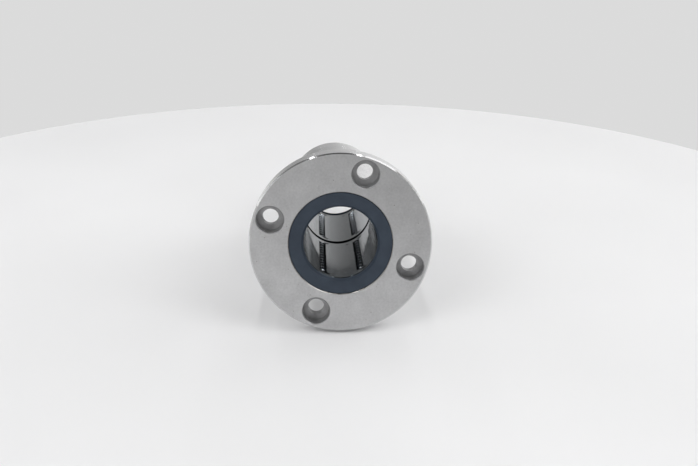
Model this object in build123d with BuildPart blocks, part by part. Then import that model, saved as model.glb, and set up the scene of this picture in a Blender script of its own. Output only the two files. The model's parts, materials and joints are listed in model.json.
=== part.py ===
from build123d import *
from math import asin, cos, degrees, pi, radians, sin, sqrt, tan
import os

# Long round-flanged linear ball bushing for a 30 mm shaft: two ball cages in one hardened sleeve.
#
# Frame, in millimetres: the bore runs along Y. The flange's front face looks to -Y and its seating face lies
# in the plane Y = 0. The origin is where that plane meets the bore's axis, and +Z is up.

# Sleeve
SHAFT_R = 15.0
BODY_R = 22.5
TOTAL_LENGTH = 123.0
FLANGE_R = 37.0
FLANGE_THICKNESS = 10.0
FRONT_Y = -FLANGE_THICKNESS
REAR_Y = FRONT_Y + TOTAL_LENGTH
MIDDLE_Y = (FRONT_Y + REAR_Y) / 2
EDGE_CHAMFER = 0.5
REAR_CHAMFER_LENGTH = 1.0
REAR_CHAMFER_RISE = 0.6
UNDERCUT_DEPTH = 0.25
UNDERCUT_WIDTH = 1.6  # along the body
UNDERCUT_HEIGHT = 0.8  # up the seating face

# Screw holes in the flange
HOLE_COUNT = 4
PITCH_CIRCLE_R = 30.0
HOLE_R = 3.3
COUNTERBORE_R = 5.5
COUNTERBORE_DEPTH = 6.1
COUNTERBORE_CHAMFER = 0.3
FIRST_HOLE_ANGLE = 70.4  # from +X towards +Z

# Balls: one closed circuit is a loaded row, a return row and a turn at each end
BALL_R = 3.969 / 2
BALL_PITCH = 4.2
ROW_BALLS = 10
TURN_BALLS = 3
CIRCUITS = 6
FIRST_SLOT_ANGLE = -27.2  # from -Z towards +X
LOADED_R = SHAFT_R + BALL_R
RETURN_R = 17.85
ROW_HALF = ROW_BALLS * BALL_PITCH / 2
TURN_R = TURN_BALLS * BALL_PITCH / pi
TURN_RISE = 6.0  # degrees by which a turn climbs away from the shaft
# Angle between the two rows that makes the straight line across a turn equal to 2 * TURN_R
ROW_ANGLE = 2 * degrees(asin(sqrt((TURN_R**2 - (RETURN_R - LOADED_R) ** 2 / 4) / (RETURN_R * LOADED_R))))

# Bore of the sleeve
RACEWAY_R = LOADED_R + BALL_R + 0.05
RACEWAY_LEAD = 0.1
RELIEF_R = RETURN_R + BALL_R + 0.35
SEAL_SEAT_R = 21.1
SEAL_SEAT_DEPTH = 2.9
SEAT_MOUTH_CHAMFER = 0.3
INNER_EDGE_R = SEAL_SEAT_R - 1

# Snap rings
RING_THICKNESS = 1.2
RING_INNER_R = 17.4
RING_OUTER_R = 21.5
RING_GROOVE_R = 21.7
RING_PLAY = 0.05
RING_GAP_ANGLE = 26.0
RING_FRONT = SEAL_SEAT_DEPTH + RING_PLAY
EYE_R = 0.8
EYE_ANGLE = 6.0  # from the end of the ring
EYE_CIRCLE_R = (RING_INNER_R + RING_OUTER_R) / 2

# Cages and the spacer between them
CAGE_INNER_R = SHAFT_R + 0.35
CAGE_OUTER_R = RACEWAY_R - 0.12
CAGE_MOUTH_CHAMFER = 0.35
CAGE_PLAY = 0.05
SPACER_HALF = 1.7
SPACER_INNER_R = 16.6
CAGE_FRONT = RING_FRONT + RING_THICKNESS + RING_PLAY
CAGE_LENGTH = TOTAL_LENGTH / 2 - SPACER_HALF - CAGE_PLAY - CAGE_FRONT
CHANNEL_R = BALL_R + 0.1
CHANNEL_DEPTH = 5.0
CHANNEL_HALF = ROW_HALF + CHANNEL_R * tan(radians(TURN_RISE))  # far enough to meet the tilted turn's floor
SLOT_WIDTH = 3.3
SLOT_DEPTH = 2.0  # from the balls' centres towards the shaft
SLOT_LEAD = 2.2  # past each end of the loaded row
GATE_R = 0.6
GATE_DEPTH = 0.35
GATE_ANGLE = 43.0  # from the first slot
GATE_INSET = 4.5  # from the cage's end

# Seals
SEAL_OUTER_R = SEAL_SEAT_R - 0.02
SEAL_RIM_CHAMFER = 0.3
SEAL_RECESS = 0.35
LIP_R = SHAFT_R + 0.02
LIP_ROOT_R = 15.9
LIP_BACK_R = 16.3
LIP_FRONT_DEPTH = 1.5
LIP_BACK_DEPTH = 2.0
RUBBER_DEPTH = 2.4
WASHER_INNER_R = 16.6

ENDS = {"front": (FRONT_Y, 1), "rear": (REAR_Y, -1)}


def around(angle, radius, y):
    """Point at an angle about the bore's axis, measured from -Z towards +X."""
    return Vector(radius * sin(radians(angle)), y, -radius * cos(radians(angle)))


def from_end(end, *profile):
    """(radius, depth) points, with the depth measured inwards from one end of the sleeve, as (radius, y)."""
    end_y, inward = ENDS[end]
    return [(radius, end_y + inward * depth) for radius, depth in profile]


def save(part, name):
    part.label = name
    export_step(part, f"parts/{name}.step")


def in_cage(shape, end, circuit):
    """The shape carried from slot angle 0 and the plane Y = 0 to one circuit of the cage at one end."""
    end_y, inward = ENDS[end]
    middle_y = end_y + inward * (CAGE_FRONT + CAGE_LENGTH / 2)
    return Pos(0, middle_y, 0) * shape.rotate(Axis.Y, -(FIRST_SLOT_ANGLE + circuit * 360 / CIRCUITS))


# A cage and its balls are drawn about the plane Y = 0, with the first circuit at slot angle 0


def turn_plane(side):
    """Plane of one turn of a circuit. Its origin is the turn's centre, its x_dir points to the loaded row
    and its z_dir, which points away from the shaft, is the axis that the balls turn about."""
    loaded_end = around(0, LOADED_R, side * ROW_HALF)
    return_end = around(ROW_ANGLE, RETURN_R, side * ROW_HALF)
    across = (return_end - loaded_end).normalized()
    outward = Vector(0, 1, 0).cross(across)
    climb = Vector(0, side, 0) * cos(radians(TURN_RISE)) + outward * sin(radians(TURN_RISE))
    return Plane(origin=(loaded_end + return_end) / 2, x_dir=-across, z_dir=climb.cross(across) * side)


def channel_outline(offset):
    """Round-bottomed outline of a ball channel, in the sketch under way, with its open side to +Y there."""
    with Locations((offset, 0)):
        Circle(CHANNEL_R)
    with Locations((offset, CHANNEL_DEPTH / 2)):
        Rectangle(2 * CHANNEL_R, CHANNEL_DEPTH)


def channel():
    """The space that one circuit takes out of its cage: a closed loop, open outwards, with a slot through its
    floor along the loaded row, where the balls reach the shaft."""
    with BuildPart() as circuit_channel:
        for side in (-1, 1):
            turn = turn_plane(side)
            with BuildSketch(Plane(turn.origin, turn.x_dir, turn.x_dir.cross(turn.z_dir))):
                channel_outline(TURN_R)
            revolve(axis=Axis(turn.origin, turn.z_dir), revolution_arc=side * 180)
        across = -turn_plane(1).x_dir
        for angle, radius in ((0, LOADED_R), (ROW_ANGLE, RETURN_R)):
            with BuildSketch(Plane(around(angle, radius, 0), across, (0, 1, 0))):
                channel_outline(0)
            extrude(amount=CHANNEL_HALF, both=True)
        with BuildSketch(Plane(around(0, LOADED_R - SLOT_DEPTH / 2, 0), z_dir=(0, 0, -1))):
            Rectangle(SLOT_WIDTH, 2 * (ROW_HALF + SLOT_LEAD))
        extrude(amount=SLOT_DEPTH / 2, both=True)
    return circuit_channel.part


# Flanged sleeve
land = [CAGE_FRONT + CAGE_LENGTH / 2 + side * (ROW_HALF + RACEWAY_LEAD) for side in (-1, 1)]
bore = [
    (0, 0),
    (SEAL_SEAT_R + SEAT_MOUTH_CHAMFER, 0),
    (SEAL_SEAT_R, SEAT_MOUTH_CHAMFER),
    (SEAL_SEAT_R, SEAL_SEAT_DEPTH),
    (RING_GROOVE_R, SEAL_SEAT_DEPTH),
    (RING_GROOVE_R, CAGE_FRONT),
    (RELIEF_R, CAGE_FRONT),
    (RELIEF_R, land[0] - (RELIEF_R - RACEWAY_R)),
    (RACEWAY_R, land[0]),
    (RACEWAY_R, land[1]),
    (RELIEF_R, land[1] + (RELIEF_R - RACEWAY_R)),
]
with BuildPart() as flanged_sleeve:
    outside = [
        (INNER_EDGE_R, FRONT_Y),
        (FLANGE_R - EDGE_CHAMFER, FRONT_Y),
        (FLANGE_R, FRONT_Y + EDGE_CHAMFER),
        (FLANGE_R, -EDGE_CHAMFER),
        (FLANGE_R - EDGE_CHAMFER, 0),
        (BODY_R + UNDERCUT_HEIGHT + UNDERCUT_DEPTH, 0),
        (BODY_R + UNDERCUT_HEIGHT, -UNDERCUT_DEPTH),
        (BODY_R - UNDERCUT_DEPTH, -UNDERCUT_DEPTH),
        (BODY_R - UNDERCUT_DEPTH, UNDERCUT_WIDTH),
        (BODY_R, UNDERCUT_WIDTH + UNDERCUT_DEPTH),
        (BODY_R, REAR_Y - REAR_CHAMFER_LENGTH),
        (BODY_R - REAR_CHAMFER_RISE, REAR_Y),
        (INNER_EDGE_R, REAR_Y),
    ]
    with BuildSketch(Plane.XY):
        Polygon(*outside, align=None)
    revolve(axis=Axis.Y)
    # Bore, the same from both ends: seal seat, snap ring groove, turn reliefs and the raceway land
    with BuildSketch(Plane.XY):
        Polygon(*from_end("front", *bore), *from_end("rear", *reversed(bore)), align=None)
    revolve(axis=Axis.Y, mode=Mode.SUBTRACT)
    # Grooves along the raceways, which clear the balls of the return rows
    for circuit in range(CIRCUITS):
        return_angle = FIRST_SLOT_ANGLE + circuit * 360 / CIRCUITS + ROW_ANGLE
        with BuildSketch(Plane(around(return_angle, RETURN_R, FRONT_Y + CAGE_FRONT), z_dir=(0, 1, 0))):
            Circle(RELIEF_R - RETURN_R)
        extrude(amount=TOTAL_LENGTH - 2 * CAGE_FRONT, mode=Mode.SUBTRACT)
    # Counterbored screw holes
    with Locations(Plane((0, FRONT_Y, 0), (1, 0, 0), (0, -1, 0))):
        with PolarLocations(PITCH_CIRCLE_R, HOLE_COUNT, start_angle=FIRST_HOLE_ANGLE):
            CounterBoreHole(HOLE_R, COUNTERBORE_R, COUNTERBORE_DEPTH, depth=FLANGE_THICKNESS)
    front_face = flanged_sleeve.faces().filter_by(Axis.Y).sort_by(Axis.Y)[0]
    mouths = front_face.inner_wires().edges().filter_by(lambda edge: edge.radius < SEAL_SEAT_R)
    chamfer(mouths, COUNTERBORE_CHAMFER)
save(flanged_sleeve.part, "flanged_sleeve")

# Spacer between the cages
with BuildPart() as cage_spacer:
    with Locations(Plane((0, MIDDLE_Y, 0), z_dir=(0, 1, 0))):
        Cylinder(CAGE_OUTER_R, 2 * SPACER_HALF)
        Cylinder(SPACER_INNER_R, 2 * SPACER_HALF, mode=Mode.SUBTRACT)
save(cage_spacer.part, "cage_spacer")

# Ball cages
with BuildPart() as ball_cage:
    wall = [
        (CAGE_INNER_R + CAGE_MOUTH_CHAMFER, -CAGE_LENGTH / 2),
        (CAGE_OUTER_R, -CAGE_LENGTH / 2),
        (CAGE_OUTER_R, CAGE_LENGTH / 2),
        (CAGE_INNER_R + CAGE_MOUTH_CHAMFER, CAGE_LENGTH / 2),
        (CAGE_INNER_R, CAGE_LENGTH / 2 - CAGE_MOUTH_CHAMFER),
        (CAGE_INNER_R, -CAGE_LENGTH / 2 + CAGE_MOUTH_CHAMFER),
    ]
    with BuildSketch(Plane.XY):
        Polygon(*wall, align=None)
    revolve(axis=Axis.Y)
    circuit_channel = channel()
    for circuit in range(CIRCUITS):
        add(circuit_channel.rotate(Axis.Y, circuit * 360 / CIRCUITS), mode=Mode.SUBTRACT)
    # Shallow dimple of the moulding gate, on the land between two circuits
    gate_y = CAGE_LENGTH / 2 - GATE_INSET
    gate_floor = around(GATE_ANGLE, CAGE_INNER_R + GATE_DEPTH, gate_y)
    with BuildSketch(Plane(gate_floor, z_dir=around(GATE_ANGLE, -1, 0))):
        Circle(GATE_R)
    extrude(amount=2 * GATE_DEPTH, mode=Mode.SUBTRACT)
for end in ENDS:
    save(in_cage(ball_cage.part, end, 0), f"{end}_ball_cage")


def row_centres(angle, radius):
    """Centres of one row's balls, half a pitch in from each end of the row."""
    first_y = -ROW_HALF + BALL_PITCH / 2
    return [around(angle, radius, first_y + index * BALL_PITCH) for index in range(ROW_BALLS)]


def turn_centres(side):
    """Centres of one turn's balls, evenly spaced on its half circle."""
    turn = turn_plane(side)
    climb = turn.z_dir.cross(turn.x_dir) * side
    angles = [pi * (index + 0.5) / TURN_BALLS for index in range(TURN_BALLS)]
    return [turn.origin + (turn.x_dir * cos(angle) + climb * sin(angle)) * TURN_R for angle in angles]


# Balls: the rows and turns of a circuit are separate nodes, because each of them moves in its own way
for end, (_, inward) in ENDS.items():
    groups = {
        "loaded": row_centres(0, LOADED_R),
        "return": row_centres(ROW_ANGLE, RETURN_R),
        "outer_turn": turn_centres(-inward),
        "inner_turn": turn_centres(inward),
    }
    for group, centres in groups.items():
        with BuildPart() as balls:
            with Locations(*centres):
                Sphere(BALL_R)
        for circuit in range(CIRCUITS):
            save(in_cage(balls.part, end, circuit), f"{end}_{group}_balls_{circuit + 1}")

# Seals, with the washers that stiffen them
for end in ENDS:
    with BuildPart() as seal:
        profile = from_end(
            end,
            (SEAL_OUTER_R, SEAL_RECESS + SEAL_RIM_CHAMFER),
            (SEAL_OUTER_R - SEAL_RIM_CHAMFER, SEAL_RECESS),
            (LIP_ROOT_R, SEAL_RECESS),
            (LIP_R, LIP_FRONT_DEPTH),
            (LIP_R, LIP_BACK_DEPTH),
            (LIP_BACK_R, RUBBER_DEPTH),
            (SEAL_OUTER_R, RUBBER_DEPTH),
        )
        with BuildSketch(Plane.XY):
            Polygon(*profile, align=None)
        revolve(axis=Axis.Y)
    save(seal.part, f"{end}_seal")
    with BuildPart() as seal_washer:
        profile = from_end(
            end,
            (WASHER_INNER_R, RUBBER_DEPTH),
            (SEAL_OUTER_R, RUBBER_DEPTH),
            (SEAL_OUTER_R, SEAL_SEAT_DEPTH),
            (WASHER_INNER_R, SEAL_SEAT_DEPTH),
        )
        with BuildSketch(Plane.XY):
            Polygon(*profile, align=None)
        revolve(axis=Axis.Y)
    save(seal_washer.part, f"{end}_seal_washer")

# Snap rings that hold the cages in: split rings with an eye at each end for pliers
for end in ENDS:
    with BuildPart() as snap_ring:
        profile = from_end(
            end,
            (RING_INNER_R, RING_FRONT),
            (RING_OUTER_R, RING_FRONT),
            (RING_OUTER_R, RING_FRONT + RING_THICKNESS),
            (RING_INNER_R, RING_FRONT + RING_THICKNESS),
        )
        with BuildSketch(Plane.XY):
            Polygon(*profile, align=None)
        revolve(axis=Axis.Y, revolution_arc=360 - RING_GAP_ANGLE)
        ((_, ring_y),) = from_end(end, (0, RING_FRONT + RING_THICKNESS / 2))
        with Locations(Plane((0, ring_y, 0), (1, 0, 0), (0, -1, 0))):
            for angle in (EYE_ANGLE, -RING_GAP_ANGLE - EYE_ANGLE):
                with PolarLocations(EYE_CIRCLE_R, 1, start_angle=angle):
                    Cylinder(EYE_R, RING_THICKNESS, mode=Mode.SUBTRACT)
    save(snap_ring.part, f"{end}_snap_ring")
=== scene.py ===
import json
import math

import bpy
from mathutils import Matrix, Vector


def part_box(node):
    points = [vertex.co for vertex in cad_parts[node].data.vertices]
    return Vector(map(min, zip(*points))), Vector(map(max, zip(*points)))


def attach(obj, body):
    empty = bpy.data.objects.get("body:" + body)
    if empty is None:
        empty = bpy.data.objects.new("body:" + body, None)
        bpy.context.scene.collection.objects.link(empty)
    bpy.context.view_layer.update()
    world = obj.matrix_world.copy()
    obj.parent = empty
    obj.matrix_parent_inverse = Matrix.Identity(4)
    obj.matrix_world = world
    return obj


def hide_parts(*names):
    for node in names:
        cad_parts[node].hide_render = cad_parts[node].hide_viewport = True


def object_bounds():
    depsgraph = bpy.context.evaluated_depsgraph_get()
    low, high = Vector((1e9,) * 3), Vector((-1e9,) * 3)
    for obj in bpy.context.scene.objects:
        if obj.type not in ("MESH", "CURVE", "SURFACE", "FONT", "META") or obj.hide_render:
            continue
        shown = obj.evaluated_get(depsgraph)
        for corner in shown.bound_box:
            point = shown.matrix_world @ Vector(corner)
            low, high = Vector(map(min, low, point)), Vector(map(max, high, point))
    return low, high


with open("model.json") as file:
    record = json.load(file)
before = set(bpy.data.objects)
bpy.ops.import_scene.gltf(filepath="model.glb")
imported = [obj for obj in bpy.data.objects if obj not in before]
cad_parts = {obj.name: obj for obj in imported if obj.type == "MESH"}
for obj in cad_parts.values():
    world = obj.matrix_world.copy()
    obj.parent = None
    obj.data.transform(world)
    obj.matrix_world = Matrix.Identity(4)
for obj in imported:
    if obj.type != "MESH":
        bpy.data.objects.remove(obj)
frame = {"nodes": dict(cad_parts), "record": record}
cad_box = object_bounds()

# Sizes in metres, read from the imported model
MOUNTS = {mount["name"]: mount for mount in frame["record"]["mounts"]}
BODY_R = MOUNTS["housing_spigot"]["dims"]["r_mm"] / 1000
FRONT_Y = cad_box[0].y
REAR_Y = cad_box[1].y
RIM_R = cad_box[1].x
SEAT_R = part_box("front_seal")[1].x  # the mouth that the seal sits in
CHAMFER = 0.0005
REAR_CHAMFER = 0.001
FLAT = 0.00002  # how near to a plane a facet lies to count as part of it
SQUARE_ON = 0.99  # how much a facet's normal lies along the bore to count as facing along it

# Finishes of the sleeve, as indices into its materials
FACE, TURNED, DRILLED, BORE = range(4)

# Camera
CAMERA_PLACE = (-0.00968, -0.3932, 0.0995)
CAMERA_PITCH = math.radians(-13.92)
CAMERA_YAW = math.radians(-1.95)
CAMERA_LENS = 50.75  # millimetres, on a sensor 36 mm wide

# Stage: a round pale floor, on which the bushing lies on its flange's rim and the far end of its body
FLOOR_R = 0.303
FLOOR_CENTRE = (-0.007, 0.081)
FLOOR_THICKNESS = 0.012
FLOOR_SIDES = 256

# Lamps: name, place, width and length, power in watts
LAMPS = (
    ("left_strip", (-0.35, 0.30, 0.92), (0.04, 1.8), 2.2),
    ("right_strip", (0.27, 0.30, 0.94), (0.04, 1.8), 2.2),
    ("left_key", (-0.65, -0.85, 0.75), (0.8, 0.8), 5.0),
    ("right_key", (0.80, -0.75, 0.75), (0.8, 0.8), 5.4),
    ("right_edge", (0.58, -0.22, 0.88), (0.5, 0.5), 1.2),
    ("left_side", (-0.95, 0.35, 0.50), (0.6, 0.8), 3.2),
    ("right_side", (1.00, 0.40, 0.50), (0.6, 0.8), 3.4),
)
LAMP_AIM = (0.0, 0.05, 0.0)
BACKDROP = 0.71  # the room's brightness where the camera looks straight at it


# Node helpers

def node(tree, kind, values=None, links=None, **settings):
    """Adds a node. settings are its properties; values and links fill its inputs, by name or number."""
    new = tree.nodes.new(kind)
    for name, value in settings.items():
        setattr(new, name, value)
    for name, value in (values or {}).items():
        new.inputs[name].default_value = value
    for name, socket in (links or {}).items():
        tree.links.new(socket, new.inputs[name])
    return new


def calc(tree, operation, *terms):
    """Result of a math node whose terms are numbers or sockets."""
    new = tree.nodes.new("ShaderNodeMath")
    new.operation = operation
    for index, term in enumerate(terms):
        if isinstance(term, (int, float)):
            new.inputs[index].default_value = term
        else:
            tree.links.new(term, new.inputs[index])
    return new.outputs[0]


def spread(tree, socket, low, high, start=0.0, end=1.0):
    """The socket's range start to end, stretched over low to high and kept inside it."""
    return node(tree, "ShaderNodeMapRange", {1: start, 2: end, 3: low, 4: high}, {0: socket}).outputs[0]


def blend_colours(tree, factor, dark, light):
    """Colour that goes from dark to light as the factor goes from 0 to 1."""
    mix = node(tree, "ShaderNodeMix", {6: (*dark, 1), 7: (*light, 1)}, {0: factor}, data_type="RGBA")
    return mix.outputs[2]


def add_marks(tree, mask, colour, mark):
    """The colour, with the mark's colour wherever the mask is 1."""
    mix = node(tree, "ShaderNodeMix", {7: (*mark, 1)}, {0: mask, 6: colour}, data_type="RGBA")
    return mix.outputs[2]


def start_material(name, values):
    """A new material, its node tree and its Principled shader with constant inputs set."""
    material = bpy.data.materials.new(name)
    material.use_nodes = True
    shader = material.node_tree.nodes["Principled BSDF"]
    for key, value in values.items():
        shader.inputs[key].default_value = value
    return material, material.node_tree, shader


def place_parts(tree):
    """The point, its distance along the bore and its distance from the bore's axis, in metres."""
    point = node(tree, "ShaderNodeTexCoord").outputs["Object"]
    x, y, z = node(tree, "ShaderNodeSeparateXYZ", links={0: point}).outputs
    radius = calc(tree, "SQRT", calc(tree, "ADD", calc(tree, "MULTIPLY", x, x), calc(tree, "MULTIPLY", z, z)))
    return point, y, radius


def clouds(tree, point, size, detail=4.0):
    """Soft noise from 0 to 1 whose blotches are about size metres across."""
    noise = node(tree, "ShaderNodeTexNoise", {"Scale": 1 / size, "Detail": detail}, {"Vector": point})
    return spread(tree, noise.outputs[0], 0, 1, 0.3, 0.7)


def lines(tree, along, pitch, detail=3.0):
    """Noise from 0 to 1 that changes only with the distance along, for lines about pitch metres apart."""
    noise = node(tree, "ShaderNodeTexNoise", {"Scale": 1.0, "Detail": detail},
                 {"W": calc(tree, "DIVIDE", along, pitch)}, noise_dimensions="1D")
    return spread(tree, noise.outputs[0], 0, 1, 0.25, 0.75)


def specks(tree, point, size, share):
    """Mask that is 1 in a few sharp spots about size metres across and 0 elsewhere. A larger share means more
    and larger spots."""
    noise = node(tree, "ShaderNodeTexNoise", {"Scale": 1 / size, "Detail": 1.0}, {"Vector": point})
    return spread(tree, noise.outputs[0], 0, 1, 1.0 - share, 1.02 - share)


def finish_surface(tree, shader, colour, roughness, height, depth):
    """Wires a varying colour and roughness and a bump of the given depth in metres."""
    tree.links.new(colour, shader.inputs["Base Color"])
    tree.links.new(roughness, shader.inputs["Roughness"])
    bump = node(tree, "ShaderNodeBump", {"Strength": 1.0, "Distance": depth}, {"Height": height})
    tree.links.new(bump.outputs[0], shader.inputs["Normal"])


# Materials

def face_steel():
    """Flange faces: finely ground flat, with faint rings about the bore, a fine grain and handling marks."""
    material, tree, shader = start_material("ground_face_steel", {"Metallic": 1.0})
    point, _, radius = place_parts(tree)
    rings = lines(tree, radius, 0.00012)
    blotches = clouds(tree, point, 0.009)
    grain = clouds(tree, point, 0.0009, detail=2.0)
    tone = calc(tree, "MULTIPLY_ADD", grain, 0.45, calc(tree, "MULTIPLY", blotches, 0.55))
    clean = blend_colours(tree, tone, (0.455, 0.455, 0.46), (0.595, 0.595, 0.60))
    colour = add_marks(tree, specks(tree, point, 0.0011, 0.25), clean, (0.24, 0.23, 0.22))
    roughness = calc(tree, "ADD", spread(tree, blotches, 0.36, 0.30), spread(tree, rings, 0.0, 0.05))
    finish_surface(tree, shader, colour, roughness, rings, 0.0000014)
    return material


def turned_steel():
    """Body and rim: ground round the axis, which draws highlights out along it."""
    material, tree, shader = start_material("ground_round_steel", {
        "Metallic": 1.0, "Anisotropic": 0.75, "Anisotropic Rotation": 0.25,
    })
    tangent = node(tree, "ShaderNodeTangent", direction_type="RADIAL", axis="Y")
    tree.links.new(tangent.outputs[0], shader.inputs["Tangent"])
    point, y, _ = place_parts(tree)
    grooves = lines(tree, y, 0.0003)
    blotches = clouds(tree, point, 0.018)
    colour = blend_colours(tree, blotches, (0.62, 0.62, 0.625), (0.68, 0.68, 0.685))
    roughness = calc(tree, "ADD", spread(tree, blotches, 0.17, 0.13), spread(tree, grooves, 0.0, 0.03))
    finish_surface(tree, shader, colour, roughness, grooves, 0.0000008)
    return material


def drilled_steel():
    """Screw holes and counterbores: drilled, darker and rougher, with tool rings down their walls."""
    material, tree, shader = start_material("drilled_steel", {"Metallic": 1.0})
    point, y, _ = place_parts(tree)
    rings = lines(tree, y, 0.00025, detail=1.0)
    blotches = clouds(tree, point, 0.003)
    colour = blend_colours(tree, blotches, (0.30, 0.30, 0.305), (0.39, 0.39, 0.395))
    roughness = calc(tree, "ADD", spread(tree, blotches, 0.46, 0.36), spread(tree, rings, 0.0, 0.1))
    finish_surface(tree, shader, colour, roughness, rings, 0.000005)
    return material


def bore_steel():
    """Inside of the sleeve: honed raceways under a film of grease."""
    material, tree, shader = start_material("honed_bore_steel", {
        "Metallic": 1.0, "Coat Weight": 0.3, "Coat Roughness": 0.1,
    })
    point, y, _ = place_parts(tree)
    marks = lines(tree, y, 0.0002)
    blotches = clouds(tree, point, 0.006)
    colour = blend_colours(tree, blotches, (0.33, 0.32, 0.31), (0.42, 0.41, 0.40))
    roughness = calc(tree, "ADD", spread(tree, blotches, 0.32, 0.2), spread(tree, marks, 0.0, 0.05))
    finish_surface(tree, shader, colour, roughness, marks, 0.000001)
    return material


def ball_steel():
    """Balls: polished, with the faintest cloud of grease. Their grey is darker and bluer than bare steel:
    painted shade for the dark slots that they lie in.
    """
    material, tree, shader = start_material("polished_ball_steel", {"Metallic": 1.0})
    point, _, _ = place_parts(tree)
    film = clouds(tree, point, 0.0015)
    # painted shade: the balls' grey is darkened and tinted blue below bare steel's, for the dark slots that
    # they lie in
    colour = blend_colours(tree, film, (0.48, 0.52, 0.57), (0.58, 0.62, 0.67))
    finish_surface(tree, shader, colour, spread(tree, film, 0.02, 0.05), film, 0.0000001)
    return material


def cage_resin():
    """Cages: dark moulded resin, glossy with grease that has been wiped along the bore. Their reflections are
    tinted blue: a painted reflection colour.
    """
    # painted reflection colour: the specular and coat tints make the resin's reflections blue
    material, tree, shader = start_material("greased_cage_resin", {
        "Specular IOR Level": 0.5, "Specular Tint": (0.72, 0.88, 1.0, 1.0),
        "Coat Weight": 0.12, "Coat Roughness": 0.06, "Coat Tint": (0.85, 0.93, 1.0, 1.0),
    })
    point, _, _ = place_parts(tree)
    stretched = node(tree, "ShaderNodeMapping", {"Scale": (1.0, 0.12, 1.0)}, {"Vector": point}).outputs[0]
    wipes = clouds(tree, stretched, 0.0018, detail=5.0)
    grain = clouds(tree, point, 0.0005, detail=2.0)
    colour = blend_colours(tree, wipes, (0.012, 0.014, 0.016), (0.024, 0.027, 0.030))
    roughness = calc(tree, "ADD", spread(tree, wipes, 0.08, 0.15), spread(tree, grain, 0.0, 0.04))
    finish_surface(tree, shader, colour, roughness, wipes, 0.000006)
    return material


def seal_rubber():
    """Seals: matte dark blue-grey rubber with a fine moulded grain and faint rings about the bore."""
    material, tree, shader = start_material("seal_rubber", {"Specular IOR Level": 0.3})
    point, _, radius = place_parts(tree)
    grain = clouds(tree, point, 0.0003, detail=6.0)
    blotches = clouds(tree, point, 0.007)
    rings = lines(tree, radius, 0.0006, detail=1.0)
    colour = blend_colours(tree, blotches, (0.025, 0.035, 0.051), (0.036, 0.049, 0.069))
    roughness = calc(tree, "ADD", spread(tree, grain, 0.48, 0.62), spread(tree, rings, -0.03, 0.03))
    finish_surface(tree, shader, colour, roughness, grain, 0.000008)
    return material


def spacer_resin():
    """Spacer: matte black moulded plastic."""
    material, tree, shader = start_material("spacer_resin", {"Specular IOR Level": 0.3})
    point, _, _ = place_parts(tree)
    grain = clouds(tree, point, 0.0004, detail=5.0)
    colour = blend_colours(tree, grain, (0.004, 0.004, 0.0045), (0.010, 0.010, 0.011))
    finish_surface(tree, shader, colour, spread(tree, grain, 0.5, 0.7), grain, 0.000006)
    return material


def sheet_steel(name, dark, light, rough):
    """Washers and snap rings: stamped or coiled from rolled strip, with fine mottling."""
    material, tree, shader = start_material(name, {"Metallic": 1.0})
    point, _, radius = place_parts(tree)
    rolled = lines(tree, radius, 0.0003)
    mottle = clouds(tree, point, 0.0012, detail=6.0)
    colour = blend_colours(tree, mottle, dark, light)
    roughness = calc(tree, "ADD", spread(tree, mottle, rough, rough + 0.12), spread(tree, rolled, 0.0, 0.05))
    finish_surface(tree, shader, colour, roughness, mottle, 0.000003)
    return material


def floor_finish():
    """Plain pale floor, very faintly uneven."""
    material, tree, shader = start_material("pale_floor", {"Specular IOR Level": 0.25})
    point, _, _ = place_parts(tree)
    drift = clouds(tree, point, 0.15, detail=2.0)
    colour = blend_colours(tree, drift, (0.80, 0.80, 0.805), (0.83, 0.83, 0.835))
    finish_surface(tree, shader, colour, spread(tree, drift, 0.5, 0.6), drift, 0.00001)
    return material


# The object

def sleeve_finish(centre, normal):
    """Which finish a facet of the sleeve has. The screw holes lie between the body and the flange's rim, well
    clear of both."""
    radius = math.hypot(centre.x, centre.z)
    if radius < SEAT_R + CHAMFER:
        return BORE if abs(centre.y - FRONT_Y) > FLAT else FACE
    nearest_plane = min(abs(centre.y - plane) for plane in (FRONT_Y, 0.0, REAR_Y))
    if abs(normal.y) > SQUARE_ON and nearest_plane < FLAT:
        return FACE
    if centre.y < 0 and BODY_R + 3 * CHAMFER < radius < RIM_R - 2 * CHAMFER:
        return DRILLED
    return TURNED


def finish_sleeve():
    """The sleeve's visible piece: its own mesh, each surface with the finish that it is machined to."""
    cad = frame["nodes"]["flanged_sleeve"]
    mesh = cad.data.copy()
    mesh.materials.clear()
    for finish in (face_steel(), turned_steel(), drilled_steel(), bore_steel()):
        mesh.materials.append(finish)
    for facet in mesh.polygons:
        facet.material_index = sleeve_finish(facet.center, facet.normal)
    sleeve = bpy.data.objects.new("machined_sleeve", mesh)
    bpy.context.scene.collection.objects.link(sleeve)
    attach(sleeve, "root")
    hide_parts("flanged_sleeve")


def finish_nodes():
    """Every other piece keeps its shape and takes the finish of its material slot."""
    finishes = {
        "ball_steel": ball_steel(),
        "cage_resin": cage_resin(),
        "spacer_resin": spacer_resin(),
        "seal_rubber": seal_rubber(),
        "washer_steel": sheet_steel("washer_steel", (0.40, 0.40, 0.39), (0.50, 0.50, 0.49), 0.28),
        "spring_steel": sheet_steel("spring_steel", (0.07, 0.068, 0.064), (0.13, 0.125, 0.12), 0.36),
    }
    for part in frame["record"]["subparts"]:
        if part["material_slot"] in finishes:
            mesh = frame["nodes"][part["node"]].data
            mesh.materials.clear()
            mesh.materials.append(finishes[part["material_slot"]])


# The stage

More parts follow.
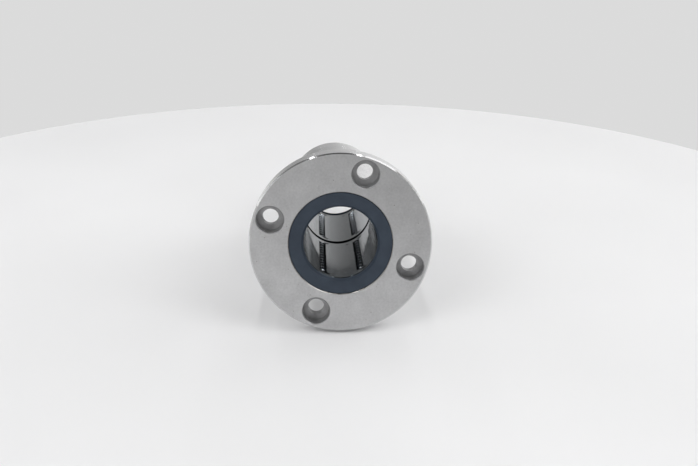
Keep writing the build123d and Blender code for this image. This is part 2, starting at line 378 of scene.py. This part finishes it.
def make_floor():
    """A disc that touches the flange's rim and the far end of the body from below."""
    front = Vector((0.0, -CHAMFER, -RIM_R))
    rear = Vector((0.0, REAR_Y - REAR_CHAMFER, -BODY_R))
    slope = math.atan2(rear.z - front.z, rear.y - front.y)
    bpy.ops.mesh.primitive_cylinder_add(vertices=FLOOR_SIDES, radius=FLOOR_R, depth=FLOOR_THICKNESS)
    floor = bpy.context.object
    floor.name = "floor"
    for facet in floor.data.polygons:
        facet.use_smooth = abs(facet.normal.z) < 0.5
    floor.data.materials.append(floor_finish())
    floor.rotation_euler = (slope, 0.0, 0.0)
    normal = Vector((0.0, -math.sin(slope), math.cos(slope)))
    middle_z = front.z + (FLOOR_CENTRE[1] - front.y) * math.tan(slope)
    floor.location = Vector((*FLOOR_CENTRE, middle_z)) - normal * FLOOR_THICKNESS / 2


def add_softbox(name, place, size, power):
    """Rectangular lamp that looks at the bushing, with its length along the bore."""
    lamp = bpy.data.lights.new(name, "AREA")
    lamp.shape = "RECTANGLE"
    lamp.size, lamp.size_y = size
    lamp.energy = power
    away = (Vector(place) - Vector(LAMP_AIM)).normalized()
    across = Vector((0.0, 1.0, 0.0)).cross(away).normalized()
    holder = bpy.data.objects.new(name, lamp)
    holder.location = place
    holder.rotation_euler = Matrix((across, away.cross(across), away)).transposed().to_euler()
    bpy.context.scene.collection.objects.link(holder)


def make_room():
    """A pale room whose ceiling darkens toward the zenith. It is brighter on its front left and rear right,
    and darker straight in front."""
    world = bpy.data.worlds.new("room")
    bpy.context.scene.world = world
    world.use_nodes = True
    tree = world.node_tree
    direction = node(tree, "ShaderNodeTexCoord").outputs["Generated"]
    x, y, z = node(tree, "ShaderNodeSeparateXYZ", links={0: direction}).outputs
    low_ceiling = spread(tree, z, 0.87, 0.5, 0.0, 0.4)
    high_ceiling = spread(tree, z, 1.0, 0.3, 0.4, 0.8)
    corners = spread(tree, calc(tree, "MULTIPLY", x, y), 0.5, 1.15, -0.16, 0.16)
    front = spread(tree, y, 0.80, 1.0, -0.9, -0.1)
    ceiling = calc(tree, "MULTIPLY", low_ceiling, high_ceiling)
    room = calc(tree, "MULTIPLY", calc(tree, "MULTIPLY", ceiling, corners), front)
    seen = node(tree, "ShaderNodeLightPath").outputs["Is Camera Ray"]
    level = node(tree, "ShaderNodeMix", {3: BACKDROP}, {0: seen, 2: room}).outputs[0]
    background = tree.nodes["Background"]
    background.inputs["Color"].default_value = (1.0, 1.0, 1.0, 1.0)
    tree.links.new(level, background.inputs["Strength"])


def make_camera():
    """A camera in front of the flange, slightly to its left and above."""
    lens = bpy.data.cameras.new("camera")
    lens.lens = CAMERA_LENS
    lens.clip_start = 0.01
    camera = bpy.data.objects.new("camera", lens)
    camera.location = CAMERA_PLACE
    camera.rotation_euler = (math.pi / 2 + CAMERA_PITCH, 0.0, CAMERA_YAW)
    bpy.context.scene.collection.objects.link(camera)
    bpy.context.scene.camera = camera


make_camera()
finish_sleeve()
finish_nodes()
make_floor()
for lamp_settings in LAMPS:
    add_softbox(*lamp_settings)
make_room()
bpy.context.scene.view_settings.view_transform = "Standard"
